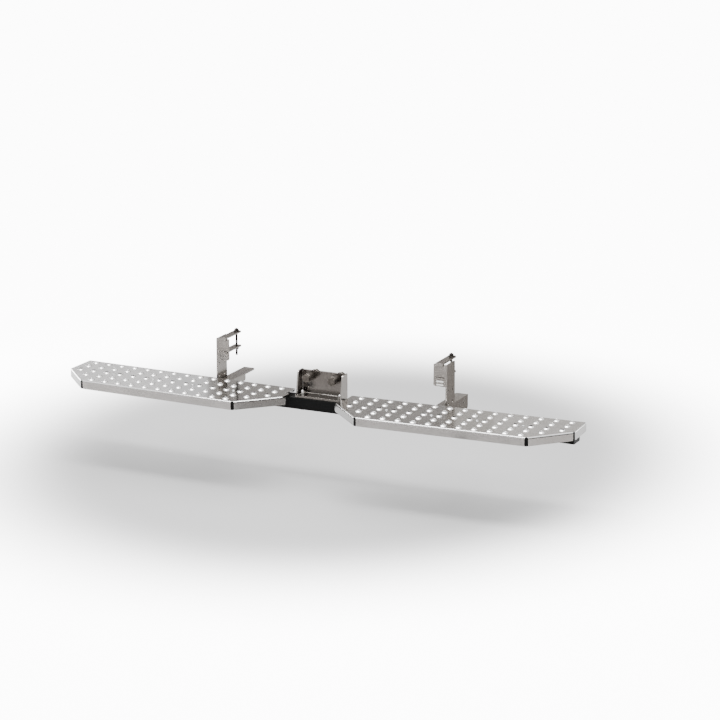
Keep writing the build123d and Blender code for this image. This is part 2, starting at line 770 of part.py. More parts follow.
stud_points = [(-strap_x, stud_y), (strap_x, stud_y)]
washer_levels = [tube_top + strap_thickness, strap_level - stud_washer]
nut_levels = [washer_levels[0] + stud_washer, washer_levels[1] - m8_nut]
stud_top = nut_levels[0] + m8_nut + stud_tip
stud_bottom = nut_levels[1] - stud_tail
with BuildPart() as clamp_studs:
    with BuildSketch(Plane.XY.offset(stud_bottom)):
        with Locations(*stud_points):
            Circle(stud_radius)
    extrude(amount=stud_top - stud_bottom)
clamp_studs.part.label = "clamp_studs"
export_step(clamp_studs.part, "parts/clamp_studs.step")

with BuildPart() as clamp_washers:
    for level in washer_levels:
        with BuildSketch(Plane.XY.offset(level)):
            with Locations(*stud_points):
                Circle(stud_washer_radius)
                Circle(stud_radius + thread_clearance, mode=Mode.SUBTRACT)
        extrude(amount=stud_washer)
clamp_washers.part.label = "clamp_washers"
export_step(clamp_washers.part, "parts/clamp_washers.step")

with BuildPart() as clamp_nuts:
    for level in nut_levels:
        with BuildSketch(Plane.XY.offset(level)):
            with Locations(*stud_points):
                RegularPolygon(m8_hex / 2, 6, major_radius=False)
                Circle(stud_radius + thread_clearance, mode=Mode.SUBTRACT)
        extrude(amount=m8_nut)
clamp_nuts.part.label = "clamp_nuts"
export_step(clamp_nuts.part, "parts/clamp_nuts.step")
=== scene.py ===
import math
import bpy
import numpy as np
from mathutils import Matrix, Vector


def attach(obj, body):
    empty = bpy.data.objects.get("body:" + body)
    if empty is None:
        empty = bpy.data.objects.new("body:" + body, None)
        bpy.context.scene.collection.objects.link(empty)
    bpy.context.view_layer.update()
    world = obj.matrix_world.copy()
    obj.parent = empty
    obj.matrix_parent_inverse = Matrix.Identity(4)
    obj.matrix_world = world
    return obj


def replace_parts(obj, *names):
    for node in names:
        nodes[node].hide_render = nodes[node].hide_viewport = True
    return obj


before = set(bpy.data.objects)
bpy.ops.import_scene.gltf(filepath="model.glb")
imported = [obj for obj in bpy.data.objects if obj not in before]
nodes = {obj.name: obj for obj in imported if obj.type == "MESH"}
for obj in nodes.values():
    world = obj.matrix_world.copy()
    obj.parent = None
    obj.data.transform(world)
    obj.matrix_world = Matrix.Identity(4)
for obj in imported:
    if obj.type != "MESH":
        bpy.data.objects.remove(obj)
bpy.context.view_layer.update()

# Camera: a long lens from behind and to the right of the step, a little above it, so that the
# treads show their tops and their rear rims.
camera_looks_down = 14.85
camera_turns_left = 24.98
camera_data = bpy.data.cameras.new("long_lens")
camera_data.lens = 133.08
camera_data.sensor_width = 36.0
camera_data.clip_end = 200.0
camera = bpy.data.objects.new("camera", camera_data)
camera.location = (3.5545, -7.3642, 2.2232)
camera.rotation_euler = (math.radians(90 - camera_looks_down), 0.0, math.radians(camera_turns_left))
bpy.context.scene.collection.objects.link(camera)
bpy.context.scene.camera = camera

# Studio: a pale floor well below the step, since the step hangs from its tow bar, a white ceiling
# and a strip light that make the collars flash, a soft light overhead that steel doesn't mirror,
# small lights left and right for the outer rims, and grey cards for treads and rims to mirror.
floor_level = -0.35


def linear(code):
    """An sRGB hex colour such as #C8C9CB as linear red, green, blue and alpha."""
    parts = [int(code[i:i + 2], 16) / 255 for i in (1, 3, 5)]
    return [c / 12.92 if c <= 0.04045 else ((c + 0.055) / 1.055) ** 2.4 for c in parts] + [1.0]


def node(tree, kind, inputs=None, **settings):
    """Add a shader node, set its settings, then set or link each of its named inputs."""
    made = tree.nodes.new(kind)
    for key, value in settings.items():
        setattr(made, key, value)
    for key, value in (inputs or {}).items():
        if isinstance(value, bpy.types.NodeSocket):
            tree.links.new(value, made.inputs[key])
        else:
            made.inputs[key].default_value = value
    return made


def new_material(name):
    """An empty material, and its node tree without nodes."""
    made = bpy.data.materials.new(name)
    made.use_nodes = True
    made.node_tree.nodes.clear()
    return made, made.node_tree


def soft_light(name, place, target, width, depth, power, mirrored=True):
    """A rectangular area light at place, turned to face target, mirrored by the steel or not."""
    data = bpy.data.lights.new(name, "AREA")
    data.shape = "RECTANGLE"
    data.size = width
    data.size_y = depth
    data.energy = power
    lamp = bpy.data.objects.new(name, data)
    lamp.location = place
    lamp.rotation_euler = (Vector(target) - Vector(place)).to_track_quat("-Z", "Y").to_euler()
    lamp.visible_glossy = mirrored
    bpy.context.scene.collection.objects.link(lamp)


# Matt paper sweep with painted shade and a painted glow: greyer under the step, where a vehicle
# would shade it, and lifted to plain white away from it by a glow that only the camera sees.
paper, tree = new_material("matt_paper_sweep")
place = node(tree, "ShaderNodeTexCoord").outputs["Object"]
oval = node(tree, "ShaderNodeMapping", {
    "Vector": place, "Location": (0.095, -0.255, -floor_level), "Scale": (0.95, 0.85, 1.0)})
away = node(tree, "ShaderNodeVectorMath", {0: oval.outputs[0]}, operation="LENGTH")
open_floor = node(tree, "ShaderNodeMapRange", {
    "Value": away.outputs["Value"], "From Min": 0.9, "From Max": 1.7},
    interpolation_type="SMOOTHSTEP")
colour = node(tree, "ShaderNodeMix", {
    "Factor": open_floor.outputs[0], "A": linear("#8E8E8E"), "B": linear("#ABABAB")},
    data_type="RGBA")
shader = node(tree, "ShaderNodeBsdfPrincipled", {
    "Base Color": colour.outputs["Result"], "Roughness": 0.9, "Specular IOR Level": 0.2})
# Painted glow, seen only by the camera, brightens the floor away from the step
painted_glow = node(tree, "ShaderNodeMapRange", {
    "Value": away.outputs["Value"], "From Min": 0.7, "From Max": 1.6, "To Min": 0.33,
    "To Max": 11.0},
    interpolation_type="SMOOTHERSTEP")
seen = node(tree, "ShaderNodeMath", {
    0: painted_glow.outputs[0], 1: node(tree, "ShaderNodeLightPath").outputs["Is Camera Ray"]},
    operation="MULTIPLY")
emission = node(tree, "ShaderNodeEmission", {"Strength": seen.outputs[0]})
both = node(tree, "ShaderNodeAddShader", {0: shader.outputs[0], 1: emission.outputs[0]})
node(tree, "ShaderNodeOutputMaterial", {"Surface": both.outputs[0]})
floor_size = 40.0
floor_mesh = bpy.data.meshes.new("floor")
corners = np.array([[-1, -1], [1, -1], [1, 1], [-1, 1]]) * floor_size
floor_mesh.from_pydata([(x, y, floor_level) for x, y in corners], [], [(0, 1, 2, 3)])
floor_mesh.materials.append(paper)
floor = bpy.data.objects.new("floor", floor_mesh)
bpy.context.scene.collection.objects.link(floor)

# Walls of one brightness up to 20 degrees above the horizon, then a ceiling twice as bright
world = bpy.data.worlds.new("studio_air")
world.use_nodes = True
tree = world.node_tree
background = tree.nodes["Background"]
height = node(tree, "ShaderNodeSeparateXYZ", {
    "Vector": node(tree, "ShaderNodeTexCoord").outputs["Generated"]})
ceiling = node(tree, "ShaderNodeMapRange", {
    "Value": height.outputs["Z"], "From Min": 0.36, "From Max": 0.6, "To Min": 1.15,
    "To Max": 2.6}, interpolation_type="SMOOTHSTEP")
background.inputs["Color"].default_value = linear("#F7F7F8")
tree.links.new(ceiling.outputs[0], background.inputs["Strength"])
bpy.context.scene.world = world
soft_light("overhead_light", (0.1, 0.1, 1.9), (0, 0.05, -0.3), width=2.4, depth=0.8, power=50,
           mirrored=False)
soft_light("collar_strip", (0.0, -0.6, 1.9), (0, -0.1, -0.05), width=3.0, depth=0.5, power=105)
soft_light("left_card", (-2.3, 0.4, -0.1), (-0.9, -0.1, -0.06), width=1.2, depth=0.6, power=38)
soft_light("right_card", (1.5, 0.95, -0.15), (0.9, -0.05, -0.06), width=0.5, depth=0.35,
           power=2.2)


def grey_card(name, colour, corners):
    """A matt card that only shows where steel mirrors it: it casts no shadow."""
    board, tree = new_material("matt_" + name)
    shader = node(tree, "ShaderNodeBsdfPrincipled", {
        "Base Color": linear(colour), "Roughness": 1.0, "Specular IOR Level": 0.0})
    node(tree, "ShaderNodeOutputMaterial", {"Surface": shader.outputs[0]})
    mesh = bpy.data.meshes.new(name)
    mesh.from_pydata(corners, [], [(0, 1, 2, 3)])
    mesh.materials.append(board)
    card = bpy.data.objects.new(name, mesh)
    card.visible_camera = False
    card.visible_shadow = False
    card.visible_diffuse = False
    bpy.context.scene.collection.objects.link(card)


def across_card(name, colour, left, right, y, bottom, top):
    """A grey card that stands across the step, at one y."""
    grey_card(name, colour, [(left, y, bottom), (right, y, bottom), (right, y, top), (left, y, top)])


def along_card(name, colour, rear, front, x, bottom, top):
    """A grey card that stands in line with the vehicle, at one x."""
    grey_card(name, colour, [(x, rear, bottom), (x, front, bottom), (x, front, top), (x, rear, top)])


# The inner parts of the treads mirror the darkest card, their outer parts the lighter ones
front_cards = [("front_card_pale", "#BAB9B9", -1.6, -0.95),
               ("front_card_dark", "#6E6B69", -0.8, 0.13),
               ("front_card_middle", "#86837F", 0.13, 0.3),
               ("front_card_light", "#999693", 0.3, 0.85)]
for name, colour, left, right in front_cards:
    across_card(name, colour, left, right, y=0.7, bottom=0.06, top=0.6)
# For the rear rims, the left inner rim, the right outer cut, and the right arm and hanger
across_card("rear_card", "#B8B4B2", left=-1.25, right=0.8, y=-0.6, bottom=-0.23, top=-0.135)
along_card("inner_card", "#6E6B69", rear=-0.6, front=-0.26, x=0.45, bottom=-0.32, top=-0.175)
along_card("outer_card", "#A5A19E", rear=-0.45, front=-0.15, x=1.2, bottom=-0.23, top=-0.115)
across_card("side_card", "#7C7976", left=0.46, right=0.78, y=0.5, bottom=-0.27, top=0.0)

# Cross beam: steel tube in black powder coat, which is nearly black, with the fine orange peel
# of baked powder and a soft sheen along its rounded edges.
black_coat, tree = new_material("black_powder_coat")
place = node(tree, "ShaderNodeTexCoord").outputs["Object"]
# Orange peel bumps are 1.5 mm apart, and a broad cloud of handling marks changes the sheen
peel = node(tree, "ShaderNodeTexNoise", {"Vector": place, "Scale": 650.0, "Detail": 2.0})
cloud = node(tree, "ShaderNodeTexNoise", {"Vector": place, "Scale": 14.0, "Detail": 5.0})
rough = node(tree, "ShaderNodeMapRange", {
    "Value": cloud.outputs[0], "From Min": 0.3, "From Max": 0.7, "To Min": 0.45, "To Max": 0.6})
# Painted light: where the coat faces up it is painted lighter, in fine specks
facing = node(tree, "ShaderNodeSeparateXYZ", {
    "Vector": node(tree, "ShaderNodeNewGeometry").outputs["Normal"]})
upward = node(tree, "ShaderNodeMapRange", {
    "Value": facing.outputs["Z"], "From Min": 0.4, "From Max": 1.0})
speck = node(tree, "ShaderNodeTexNoise", {"Vector": place, "Scale": 260.0, "Detail": 3.0})
painted_top_light = node(tree, "ShaderNodeMath", {0: upward.outputs[0], 1: speck.outputs[0]},
             operation="MULTIPLY")
colour = node(tree, "ShaderNodeMix", {
    "Factor": painted_top_light.outputs[0], "A": linear("#070707"), "B": linear("#121211")},
    data_type="RGBA")
rounded = node(tree, "ShaderNodeBevel", {"Radius": 0.0012}, samples=4)
bump = node(tree, "ShaderNodeBump", {
    "Height": peel.outputs[0], "Strength": 0.2, "Distance": 0.00015,
    "Normal": rounded.outputs[0]})
shader = node(tree, "ShaderNodeBsdfPrincipled", {
    "Base Color": colour.outputs["Result"], "Roughness": rough.outputs[0],
    "IOR": 1.45, "Specular IOR Level": 0.14, "Normal": bump.outputs[0]})
node(tree, "ShaderNodeOutputMaterial", {"Surface": shader.outputs[0]})
nodes["cross_beam"].material_slots[0].material = black_coat

# End caps: moulded polyethylene, a slightly lighter black than the beam, with a fine grain and a
# dull sheen.
cap_plastic, tree = new_material("moulded_polyethylene")
place = node(tree, "ShaderNodeTexCoord").outputs["Object"]
# Spark-eroded mould grain, 0.5 mm
grain = node(tree, "ShaderNodeTexVoronoi", {"Vector": place, "Scale": 2000.0})
cloud = node(tree, "ShaderNodeTexNoise", {"Vector": place, "Scale": 90.0, "Detail": 4.0})
colour = node(tree, "ShaderNodeMix", {
    "Factor": cloud.outputs[0], "A": linear("#1B1B1C"), "B": linear("#2A2A2B")},
    data_type="RGBA")
rounded = node(tree, "ShaderNodeBevel", {"Radius": 0.0008}, samples=4)
bump = node(tree, "ShaderNodeBump", {
    "Height": grain.outputs[0], "Strength": 0.3, "Distance": 0.0001,
    "Normal": rounded.outputs[0]})
shader = node(tree, "ShaderNodeBsdfPrincipled", {
    "Base Color": colour.outputs["Result"], "Roughness": 0.55, "Specular IOR Level": 0.2,
    "Normal": bump.outputs[0]})
node(tree, "ShaderNodeOutputMaterial", {"Surface": shader.outputs[0]})
for name in ("right_beam_cap", "left_beam_cap"):
    nodes[name].material_slots[0].material = cap_plastic

# Tread frames: rails, ribs and edge bars welded up and coated like the beam, with four upright
# weld beads where each rib meets the middle rail.
for name in ("right_tread_frame", "left_tread_frame"):
    nodes[name].material_slots[0].material = black_coat


def skin(rings, closed=False):
    """Vertices and faces of a skin over rings of points, rings[k][i] = point i of ring k.

    Neighbouring rings are joined by quads. A closed skin joins the last ring to the first,
    an open one is capped by one polygon at each end."""
    rings = np.asarray(rings, dtype=float)
    count, around = rings.shape[:2]
    index = np.arange(count * around).reshape(count, around)
    lower = index if closed else index[:-1]
    upper = np.roll(index, -1, axis=0) if closed else index[1:]
    quads = np.stack([lower, np.roll(lower, -1, axis=1), np.roll(upper, -1, axis=1), upper], axis=-1)
    faces = [tuple(quad) for quad in quads.reshape(-1, 4).tolist()]
    if not closed:
        faces.append(tuple(index[0][::-1].tolist()))
        faces.append(tuple(index[-1].tolist()))
    return rings.reshape(-1, 3), faces


def joined(skins):
    """One list of vertices and faces from several."""
    points = []
    faces = []
    start = 0
    for skin_points, skin_faces in skins:
        points.append(skin_points)
        faces += [tuple(corner + start for corner in face) for face in skin_faces]
        start += len(skin_points)
    return np.concatenate(points), faces


def lathe(levels, around=32):
    """Rings about the local z axis, each level given as (radius, height) in millimetres.

    A radius or height may be an array with one value for each point of the ring."""
    angle = 2 * np.pi * np.arange(around) / around
    return [np.stack([radius * np.cos(angle), radius * np.sin(angle), height + 0 * angle], axis=-1)
            for radius, height in levels]


def hexagon(apothem, around):
    """Radius of a regular hexagon at each of the points around it."""
    angle = 2 * np.pi * np.arange(around) / around
    return apothem / np.cos((angle + np.pi / 6) % (np.pi / 3) - np.pi / 6)


def stood(shape, place, axis=(0, 0, 1)):
    """The shape moved to place, its local z axis turned to axis."""
    points, faces = shape
    up = np.array(axis, dtype=float)
    side = np.cross((0, 1, 0) if abs(up[1]) < 0.9 else (0, 0, 1), up)
    side /= np.linalg.norm(side)
    return points @ np.array([side, np.cross(up, side), up]) + np.array(place, float), faces


def piece(name, shape, material, sharp=35.0):
    """An object from a shape in millimetres, smooth but for edges sharper than the angle."""
    points, faces = shape
    mesh = bpy.data.meshes.new(name)
    mesh.from_pydata((points / 1000).tolist(), [], faces)
    mesh.polygons.foreach_set("use_smooth", [True] * len(faces))
    mesh.set_sharp_from_angle(angle=math.radians(sharp))
    mesh.materials.append(material)
    made = bpy.data.objects.new(name, mesh)
    bpy.context.scene.collection.objects.link(made)
    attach(made, "root")
    return made


# Sizes in millimetres, where x and y on a tread are counted from its innermost, rearmost hole
tread_turn = math.radians(2.0)
inner_hole_x = 147.0
tread_setback = 213.0
tread_top = -48.0
middle_row = 93.6
rib_centres = [75.0, 225.0, 375.0, 525.0, 675.0]
rib_width = 25.0
rail_width = 40.0
rail_height = 13.5
sheet = 2.0
frame_bead_top = -4.5
frame_bead_radius = 1.8


def on_tread(x, y, z, side):
    """Point in the row's frame of a point given from the right tread's first hole, mirrored for
    the left tread by side = -1."""
    return (side * (inner_hole_x + x * math.cos(tread_turn) - y * math.sin(tread_turn)),
            x * math.sin(tread_turn) + y * math.cos(tread_turn) - tread_setback,
            tread_top + z)


def bead(start, end, radius, ripple=2.2):
    """Weld bead from start to end: a rod whose radius swells once for each ripple in mm.

    r(s) = radius * (0.86 + 0.14 * |cos(pi * s / ripple)|), drawn in to half at both ends."""
    start = np.array(start, dtype=float)
    end = np.array(end, dtype=float)
    length = np.linalg.norm(end - start)
    steps = max(6, int(length / ripple * 4))
    along = np.linspace(0, length, steps + 1)
    wide = radius * (0.86 + 0.14 * np.abs(np.cos(np.pi * along / ripple)))
    wide[[0, -1]] *= 0.5
    return stood(skin(lathe(list(zip(wide, along)), 10)), start, (end - start) / length)


for label, side in (("right", 1), ("left", -1)):
    beads = []
    for rib in rib_centres:
        for across in (-1, 1):
            for edge in (-1, 1):
                x = rib + across * rib_width / 2
                y = middle_row + edge * rail_width / 2
                beads.append(bead(on_tread(x, y, frame_bead_top, side),
                                  on_tread(x, y, -sheet - rail_height, side), frame_bead_radius))
    piece(label + "_frame_welds", joined(beads), black_coat)

# Treads: stainless sheet, roll-polished until it mirrors the hangers softly, with faint rolling
# lines along it, smudges and a few long scratches.


def steel(name, light, dark, smooth, rough, stretch, edge):
    """Stainless steel whose colour and roughness follow the lines left by rolling or brushing.

    Stretch gives how many lines go into a metre along each axis, edge the rounding of edges."""
    made, tree = new_material(name)
    place = node(tree, "ShaderNodeTexCoord").outputs["Object"]
    turned = node(tree, "ShaderNodeMapping", {"Vector": place, "Scale": stretch})
    lines = node(tree, "ShaderNodeTexNoise", {
        "Vector": turned.outputs[0], "Scale": 1.0, "Detail": 5.0, "Roughness": 0.62})
    cloud = node(tree, "ShaderNodeTexNoise", {"Vector": place, "Scale": 11.0, "Detail": 6.0})
    mixed = node(tree, "ShaderNodeMath", {0: lines.outputs[0], 1: cloud.outputs[0]},
                 operation="MULTIPLY")
    shade = node(tree, "ShaderNodeMapRange", {
        "Value": mixed.outputs[0], "From Min": 0.12, "From Max": 0.40})
    colour = node(tree, "ShaderNodeMix", {
        "Factor": shade.outputs[0], "A": dark, "B": light}, data_type="RGBA")
    # Scratches about 60 mm long and 0.4 mm wide, where a stretched noise peaks
    slanted = node(tree, "ShaderNodeMapping", {
        "Vector": place, "Rotation": (0.3, 0.2, 0.5), "Scale": (16.0, 1300.0, 1300.0)})
    peaks = node(tree, "ShaderNodeTexNoise", {"Vector": slanted.outputs[0], "Scale": 1.0})
    scratch = node(tree, "ShaderNodeMapRange", {
        "Value": peaks.outputs[0], "From Min": 0.70, "From Max": 0.74, "To Max": 0.16})
    haze = node(tree, "ShaderNodeMapRange", {
        "Value": mixed.outputs[0], "From Min": 0.12, "From Max": 0.40,
        "To Min": rough, "To Max": smooth})
    roughness = node(tree, "ShaderNodeMath", {0: haze.outputs[0], 1: scratch.outputs[0]},
                     operation="ADD")
    # Painted shade: bores and tight corners are painted dark where walls stand within 12 mm
    crevice = node(tree, "ShaderNodeAmbientOcclusion", {"Distance": 0.012}, samples=8)
    open_face = node(tree, "ShaderNodeMapRange", {
        "Value": crevice.outputs["AO"], "From Min": 0.38, "From Max": 0.8})
    shaded = node(tree, "ShaderNodeMix", {
        "Factor": open_face.outputs[0], "A": linear("#15130F"), "B": colour.outputs["Result"]},
        data_type="RGBA")
    # The sheet isn't quite flat, so what it mirrors waves a little
    wave = node(tree, "ShaderNodeTexNoise", {"Vector": place, "Scale": 13.0, "Detail": 1.0})
    rounded = node(tree, "ShaderNodeBevel", {"Radius": edge}, samples=4)
    waved = node(tree, "ShaderNodeBump", {
        "Height": wave.outputs[0], "Strength": 0.35, "Distance": 0.0012,
        "Normal": rounded.outputs[0]})
    bump = node(tree, "ShaderNodeBump", {
        "Height": lines.outputs[0], "Strength": 0.06, "Distance": 0.0002,
        "Normal": waved.outputs[0]})
    shader = node(tree, "ShaderNodeBsdfPrincipled", {
        "Base Color": shaded.outputs["Result"], "Metallic": 1.0,
        "Roughness": roughness.outputs[0], "Normal": bump.outputs[0]})
    node(tree, "ShaderNodeOutputMaterial", {"Surface": shader.outputs[0]})
    return made


tread_steel = steel("roll_polished_stainless_sheet", linear("#DDDCDB"), linear("#C9C8C6"),
                    smooth=0.09, rough=0.17, stretch=(7.0, 800.0, 800.0), edge=0.0005)
hole_pitch_x = 50.0
hole_pitch_y = 46.8
# Painted shade: the middle row of holes lies over the black rail, and its bores, 12 mm across,
# are painted black
tree = tread_steel.node_tree
shader = tree.nodes["Principled BSDF"]
clean = shader.inputs["Base Color"].links[0].from_socket
across = node(tree, "ShaderNodeSeparateXYZ", {
    "Vector": node(tree, "ShaderNodeTexCoord").outputs["Object"]})
outward = node(tree, "ShaderNodeMath", {0: across.outputs["X"]}, operation="ABSOLUTE")
mirrored = node(tree, "ShaderNodeCombineXYZ", {"X": outward.outputs[0], "Y": across.outputs["Y"]})
on_sheet = node(tree, "ShaderNodeMapping", {
    "Vector": mirrored.outputs[0], "Rotation": (0.0, 0.0, tread_turn),
    "Location": (inner_hole_x / 1000, -tread_setback / 1000, 0.0)}, vector_type="TEXTURE")
apart = node(tree, "ShaderNodeSeparateXYZ", {"Vector": on_sheet.outputs[0]})
half_pitch = hole_pitch_x / 2000
along = node(tree, "ShaderNodeMath", {0: apart.outputs["X"], 1: 0.001 - half_pitch},
             operation="MAXIMUM")
from_hole = node(tree, "ShaderNodeMath", {0: along.outputs[0], 1: half_pitch, 2: -half_pitch},
                 operation="WRAP")
from_row = node(tree, "ShaderNodeMath", {0: apart.outputs["Y"], 1: middle_row / 1000},
                operation="SUBTRACT")
offset = node(tree, "ShaderNodeCombineXYZ", {"X": from_hole.outputs[0], "Y": from_row.outputs[0]})
distance = node(tree, "ShaderNodeVectorMath", {0: offset.outputs[0]}, operation="LENGTH")
# Painted shade: black within 6 mm of each middle-row hole's centre
bore = node(tree, "ShaderNodeMapRange", {
    "Value": distance.outputs["Value"], "From Min": 0.0058, "From Max": 0.0062, "To Min": 1.0,
    "To Max": 0.0})
painted_bore_shade = node(tree, "ShaderNodeMix", {
    "Factor": bore.outputs[0], "A": clean, "B": linear("#151413")}, data_type="RGBA")
# Painted reflection: a dark line 2 mm high is painted 4.6 mm below the top of the rims that face
# diagonally backwards, where |normal x| = 0.7
facing = node(tree, "ShaderNodeSeparateXYZ", {
    "Vector": node(tree, "ShaderNodeNewGeometry").outputs["Normal"]})
sideways = node(tree, "ShaderNodeMath", {0: facing.outputs["X"]}, operation="ABSOLUTE")
diagonal = node(tree, "ShaderNodeMath", {0: sideways.outputs[0], 1: 0.7, 2: 0.13},
                operation="COMPARE")
rearward = node(tree, "ShaderNodeMath", {0: facing.outputs["Y"], 1: -0.4}, operation="LESS_THAN")
under_fold = node(tree, "ShaderNodeMath", {
    0: across.outputs["Z"], 1: (tread_top - 4.6) / 1000, 2: 0.001}, operation="COMPARE")
cut_rim = node(tree, "ShaderNodeMath", {0: diagonal.outputs[0], 1: rearward.outputs[0]},
               operation="MULTIPLY")
lined = node(tree, "ShaderNodeMath", {0: cut_rim.outputs[0], 1: under_fold.outputs[0]},
             operation="MULTIPLY")
painted_dark_reflection = node(tree, "ShaderNodeMix", {
    "Factor": lined.outputs[0], "A": painted_bore_shade.outputs["Result"], "B": linear("#1E1B19")},
    data_type="RGBA")
tree.links.new(painted_dark_reflection.outputs["Result"], shader.inputs["Base Color"])
for name in ("right_tread", "left_tread"):
    nodes[name].material_slots[0].material = tread_steel

# Grip collars: each perforation is pressed up into a collar with a rounded lip, 21.8 mm wide
# at its foot. One piece for each tread covers the plain collars of the sheet.
# The inner cut ends 114 mm and 122 mm from the corner it takes off, the outer one is x - y = 648
tread_inner_edge = -50.0
tread_rear_edge = -22.0
inner_cut_x = 114.0
inner_cut_y = 122.0
outer_cut = 648.0
cut_clearance = 13.8
hole_rows = 5
hole_columns = 15
collar_sides = 20
# Radius and height above the sheet, from the bore's top down through the foot and up to the lip
collar_levels = [(5.2, 3.1), (5.2, -2.04), (10.9, 0.02), (9.2, 1.6), (7.5, 3.5), (6.3, 3.9)]
# The lip's edges stay smooth, and only the sharper turn at the bore shows as an edge
collar_sharp = 62.0


def has_collar(x, y):
    """Tell whether the hole at x, y keeps clear of both cut corners of the tread."""
    along_x = (x - tread_inner_edge) / inner_cut_x
    along_y = (y - tread_rear_edge) / inner_cut_y
    inner = (along_x + along_y - 1) / math.hypot(1 / inner_cut_x, 1 / inner_cut_y)
    return min(inner, (outer_cut - x + y) / math.sqrt(2)) > cut_clearance


collar = skin(lathe(collar_levels, collar_sides), closed=True)
for label, side in (("right", 1), ("left", -1)):
    collars = [stood(collar, on_tread(column * hole_pitch_x, row * hole_pitch_y, 0, side))
               for row in range(hole_rows) for column in range(hole_columns)
               if has_collar(column * hole_pitch_x, row * hole_pitch_y)]
    piece(label + "_collars", joined(collars), tread_steel, collar_sharp)

# Corner strips: black upright strips that close the open corners between the folded rims, in
# the beam's powder coat. Each is given by its corner of the outline and the two next to it.
corner_points = [(64.0, -22.0), (626.0, -22.0), (740.0, 92.0)]
corner_next = [(626.0, -22.0), (740.0, 92.0), (740.0, 209.2)]
corner_last = [(-50.0, 100.0), (64.0, -22.0), (626.0, -22.0)]
# How far a strip goes along both rims from its corner, and how far it stands outside them
strip_reach = [5.8, 6.2, 4.6]
strip_proud = 0.05
strip_chamfer = 3.4
strip_inner = 1.9
strip_levels = [-28.0, -27.4, -2.2, -1.6]
strip_tuck = 0.88


def corner_strip(corner, before, after, reach, side):
    """Strip round an outline corner, a hair proud of both rims, its outer edge chamfered."""
    here = np.array(corner)
    back = np.array(before) - here
    ahead = np.array(after) - here
    back /= np.linalg.norm(back)
    ahead /= np.linalg.norm(ahead)
    out_back = np.array([-back[1], back[0]])
    out_ahead = np.array([ahead[1], -ahead[0]])
    mitre = (out_back + out_ahead) / (1 + out_back @ out_ahead)
    plan = [here + reach * back + strip_proud * out_back,
            here + strip_chamfer * back + strip_proud * out_back,
            here + strip_chamfer * ahead + strip_proud * out_ahead,
            here + reach * ahead + strip_proud * out_ahead,
            here + reach * ahead - strip_inner * out_ahead, here - strip_inner * mitre,
            here + reach * back - strip_inner * out_back]
    if side < 0:
        plan = plan[::-1]
    middle = np.mean(plan, axis=0)
    rings = []
    for z in strip_levels:
        tuck = strip_tuck if z in (strip_levels[0], strip_levels[-1]) else 1.0
        rings.append([on_tread(*(middle + tuck * (point - middle)), z, side) for point in plan])
    return skin(rings)


for label, side in (("right", 1), ("left", -1)):
    strips = [corner_strip(*places, side)
              for places in zip(corner_points, corner_last, corner_next, strip_reach)]
    piece(label + "_corner_strips", joined(strips), black_coat)

# Zinc plated fasteners: cool grey with a faint warm cloud and a soft gloss, chamfered heads,
# washer faces and real thread turns.
zinc_plate, tree = new_material("bright_zinc_plating")
place = node(tree, "ShaderNodeTexCoord").outputs["Object"]
# Spangle of 3 mm and a finer grain from the tumbled surface
spangle = node(tree, "ShaderNodeTexVoronoi", {"Vector": place, "Scale": 330.0})
grain = node(tree, "ShaderNodeTexNoise", {"Vector": place, "Scale": 1500.0, "Detail": 3.0})
colour = node(tree, "ShaderNodeMix", {
    "Factor": spangle.outputs["Distance"], "A": linear("#C2C4C6"), "B": linear("#9C9B98")},
    data_type="RGBA")
rough = node(tree, "ShaderNodeMapRange", {
    "Value": grain.outputs[0], "To Min": 0.2, "To Max": 0.42})
rounded = node(tree, "ShaderNodeBevel", {"Radius": 0.0003}, samples=4)
bump = node(tree, "ShaderNodeBump", {
    "Height": grain.outputs[0], "Strength": 0.1, "Distance": 0.0001,
    "Normal": rounded.outputs[0]})
shader = node(tree, "ShaderNodeBsdfPrincipled", {
    "Base Color": colour.outputs["Result"], "Metallic": 1.0, "Roughness": rough.outputs[0],
    "Normal": bump.outputs[0]})
node(tree, "ShaderNodeOutputMaterial", {"Surface": shader.outputs[0]})


def thread(radius, pitch, start, stop, around):
    """Levels of a single-start thread from start to stop.

    r(a, z) = radius - depth / 2 + depth / 2 * cos(2 * pi * z / pitch - a), depth = 0.61 * pitch,
    with five rings to a turn."""
    angle = 2 * np.pi * np.arange(around) / around
    depth = 0.61 * pitch
    heights = np.arange(start, stop, pitch / 5)
    return [(radius - depth / 2 + depth / 2 * np.cos(2 * np.pi * z / pitch - angle), z)
            for z in heights]


def bolt(radius, flats, head, length, pitch, threaded, around=36):
    """Hexagon bolt with its bearing face at z = 0, its head below and its shank above.

    The edge of the head is cut back by a 30 degree cone, height = (r - crown) * tan(30)."""
    hexa = hexagon(flats / 2, around)
    crown = 0.95 * flats / 2
    chamfer = (hexa - crown) * math.tan(math.radians(30))
    levels = [(crown * 0.97, -head), (crown, -head), (hexa, chamfer - head), (hexa, -0.4),
              (crown, -0.4), (crown, 0.0), (radius + 0.3, 0.0), (radius, 0.3)]
    levels += [(radius, length - threaded - 0.5)]
    levels += thread(radius, pitch, length - threaded, length - 1.0, around)
    levels += [(radius - 0.61 * pitch, length - 0.9), (radius - 0.75 * pitch, length)]
    return skin(lathe(levels, around))


def nut(radius, flats, height, around=36):
    """Hexagon nut from z = 0 to height, both faces chamfered and the bore countersunk."""
    hexa = hexagon(flats / 2, around)
    crown = 0.95 * flats / 2
    chamfer = (hexa - crown) * math.tan(math.radians(30))
    sink = radius + 0.6
    levels = [(radius, 0.6), (sink, 0.0), (crown, 0.0), (hexa, chamfer), (hexa, height - chamfer),
              (crown, height), (sink, height), (radius, height - 0.6)]
    return skin(lathe(levels, around), closed=True)


def ring(outer, bore, height, edge=0.3, around=40):
    """Washer or sleeve from z = 0 to height with its four edges broken."""
    levels = [(bore, edge), (bore + edge, 0.0), (outer - edge, 0.0), (outer, edge),
              (outer, height - edge), (outer - edge, height), (bore + edge, height),
              (bore, height - edge)]
    return skin(lathe(levels, around), closed=True)


